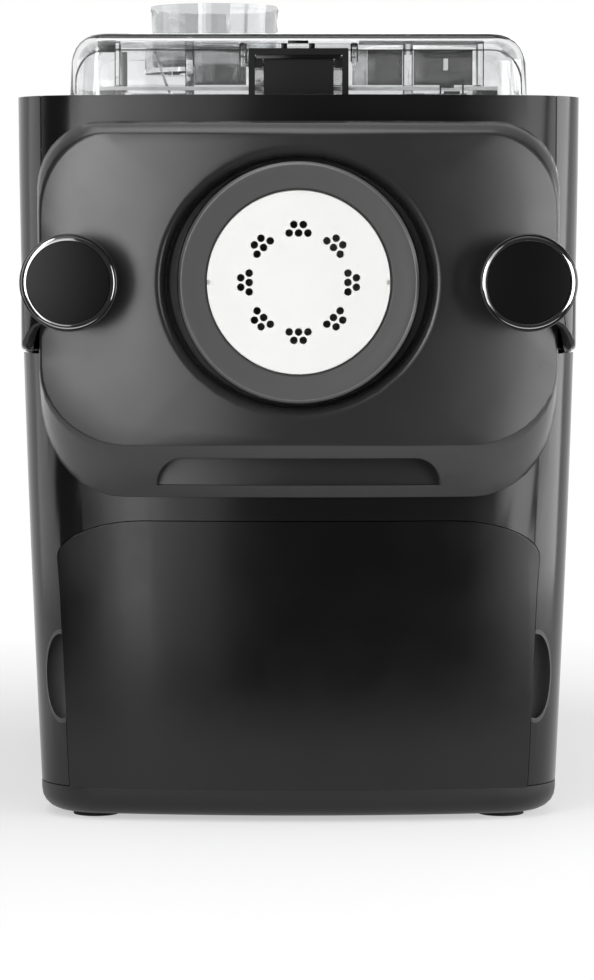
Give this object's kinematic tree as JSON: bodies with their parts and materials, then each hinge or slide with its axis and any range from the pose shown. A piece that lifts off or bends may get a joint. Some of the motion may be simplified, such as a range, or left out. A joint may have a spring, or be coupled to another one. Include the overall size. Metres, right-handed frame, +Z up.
{
  "type": "electric pasta maker",
  "caption": "Dark counter-top electric pasta maker: bulged front cover held by two knobbed clamp arms, round shaping disc, clear lid with measuring cup, and a drawer below.",
  "frame": {"origin": "middle of the footprint's bounding box, on the surface the feet stand on", "axes": "+Z up, the front (disc, knobs and drawer) faces -Y, +X to the right seen from the front"},
  "size_m": [0.2444, 0.4, 0.3537],
  "materials": {
    "dark_plastic": "satin",
    "gloss_black": "glossy",
    "knob_face": "satin",
    "knob_metal": "dark polished",
    "clear": "clear plastic",
    "white_plastic": "smooth",
    "grey_plastic": "fine grain",
    "rubber": "matte",
    "seal": "matte",
    "steel": "brushed",
    "plate_metal": "cast",
    "gear_plastic": "moulded",
    "brass": "machined",
    "board": "lacquered",
    "panel": "glossy",
    "power_red": "glossy",
    "button_grey": "glossy"
  },
  "bodies": {
    "housing": {"base_pan": "dark_plastic", "rubber_feet": "rubber", "outer_shell": "dark_plastic", "front_frame": "dark_plastic", "top_deck": "dark_plastic", "rear_panel": "dark_plastic", "cord_inlet": "rubber", "housing_screws": "steel", "chassis": "grey_plastic", "drawer_runners": "steel", "mixing_bowl": "clear", "bowl_seal": "seal", "tube_seal": "seal", "extrusion_tube": "white_plastic", "front_cover": "dark_plastic", "cover_gasket": "seal", "shaping_disc": "white_plastic", "idler_shaft": "steel", "gearbox_front_plate": "plate_metal", "gearbox_rear_plate": "plate_metal", "shaft_bearings": "steel", "motor": "plate_metal", "power_board": "board", "arm_brackets": "gloss_black", "arm_hinge_pins": "steel", "lid_hinge_pins": "steel", "lid_seal": "seal", "control_panel": "panel", "display_lens": "panel", "control_board": "board"},
    "nut": {"ring_nut": "dark_plastic"},
    "screw": {"extrusion_screw": "white_plastic", "mixing_paddle": "white_plastic", "output_shaft": "steel", "output_gear": "gear_plastic"},
    "idler": {"idler_gear": "gear_plastic"},
    "rotor": {"motor_shaft": "steel", "motor_pinion": "brass", "cooling_fan": "grey_plastic"},
    "left_clamp": {"left_arm": "gloss_black", "left_knob": "knob_face", "left_knob_rim": "knob_metal", "left_arm_pad": "rubber"},
    "right_clamp": {"right_arm": "gloss_black", "right_knob": "knob_face", "right_knob_rim": "knob_metal", "right_arm_pad": "rubber"},
    "drawer": {"drawer_front": "dark_plastic", "drawer_tub": "grey_plastic", "disc_rack": "grey_plastic", "spare_discs": "white_plastic"},
    "lid": {"lid": "clear", "lid_handle": "gloss_black", "latch_pin": "steel"},
    "latch": {"latch_lever": "gloss_black"},
    "cup": {"measuring_cup": "clear"},
    "power": {"power_button": "power_red"},
    "start": {"start_button": "button_grey"},
    "plus": {"plus_button": "button_grey"},
    "minus": {"minus_button": "button_grey"}
  },
  "joints": [
    {"name": "nut_turn", "type": "hinge", "parent": "housing", "child": "nut", "pos_m": [0, -0.17619, 0.231], "axis": [0, -1, 0], "range_deg": [0, 45]},
    {"name": "screw_spin", "type": "hinge", "parent": "housing", "child": "screw", "pos_m": [0, 0, 0.231], "axis": [0, -1, 0], "continuous": true},
    {"name": "idler_spin", "type": "hinge", "parent": "housing", "child": "idler", "pos_m": [0.04178, 0.06, 0.18121], "axis": [0, -1, 0], "continuous": true},
    {"name": "motor_spin", "type": "hinge", "parent": "housing", "child": "rotor", "pos_m": [-0.01013, 0.06, 0.16632], "axis": [0, -1, 0], "continuous": true},
    {"name": "left_clamp_swing", "type": "hinge", "parent": "housing", "child": "left_clamp", "pos_m": [-0.1162, -0.09199, 0.2133], "axis": [0, 0, -1], "range_deg": [0, 95]},
    {"name": "right_clamp_swing", "type": "hinge", "parent": "housing", "child": "right_clamp", "pos_m": [0.1162, -0.09199, 0.2133], "axis": [0, 0, 1], "range_deg": [0, 95]},
    {"name": "drawer_slide", "type": "slide", "parent": "housing", "child": "drawer", "axis": [0, -1, 0], "range_m": [0, 0.14]},
    {"name": "lid_hinge", "type": "hinge", "parent": "housing", "child": "lid", "pos_m": [0, 0.0455, 0.315], "axis": [-1, 0, 0], "range_deg": [0, 100]},
    {"name": "latch_press", "type": "hinge", "parent": "lid", "child": "latch", "pos_m": [0, -0.1392, 0.3245], "axis": [-1, 0, 0], "range_deg": [0, 18], "stiffness_Nm_per_rad": 0.06, "springref_deg": -5.73},
    {"name": "cup_lift", "type": "slide", "parent": "lid", "child": "cup", "axis": [0, 0, 1], "range_m": [0, 0.026]},
    {"name": "power_press", "type": "slide", "parent": "housing", "child": "power", "axis": [0, 0, -1], "range_m": [0, 0.0015], "stiffness_N_per_m": 400, "springref_m": -0.0005},
    {"name": "start_press", "type": "slide", "parent": "housing", "child": "start", "axis": [0, 0, -1], "range_m": [0, 0.0015], "stiffness_N_per_m": 400, "springref_m": -0.0005},
    {"name": "plus_press", "type": "slide", "parent": "housing", "child": "plus", "axis": [0, 0, -1], "range_m": [0, 0.0015], "stiffness_N_per_m": 400, "springref_m": -0.0005},
    {"name": "minus_press", "type": "slide", "parent": "housing", "child": "minus", "axis": [0, 0, -1], "range_m": [0, 0.0015], "stiffness_N_per_m": 400, "springref_m": -0.0005}
  ],
  "couplings": [
    {"joint": "idler_spin", "follows": "screw_spin", "ratio": -4},
    {"joint": "motor_spin", "follows": "screw_spin", "ratio": 20}
  ]
}
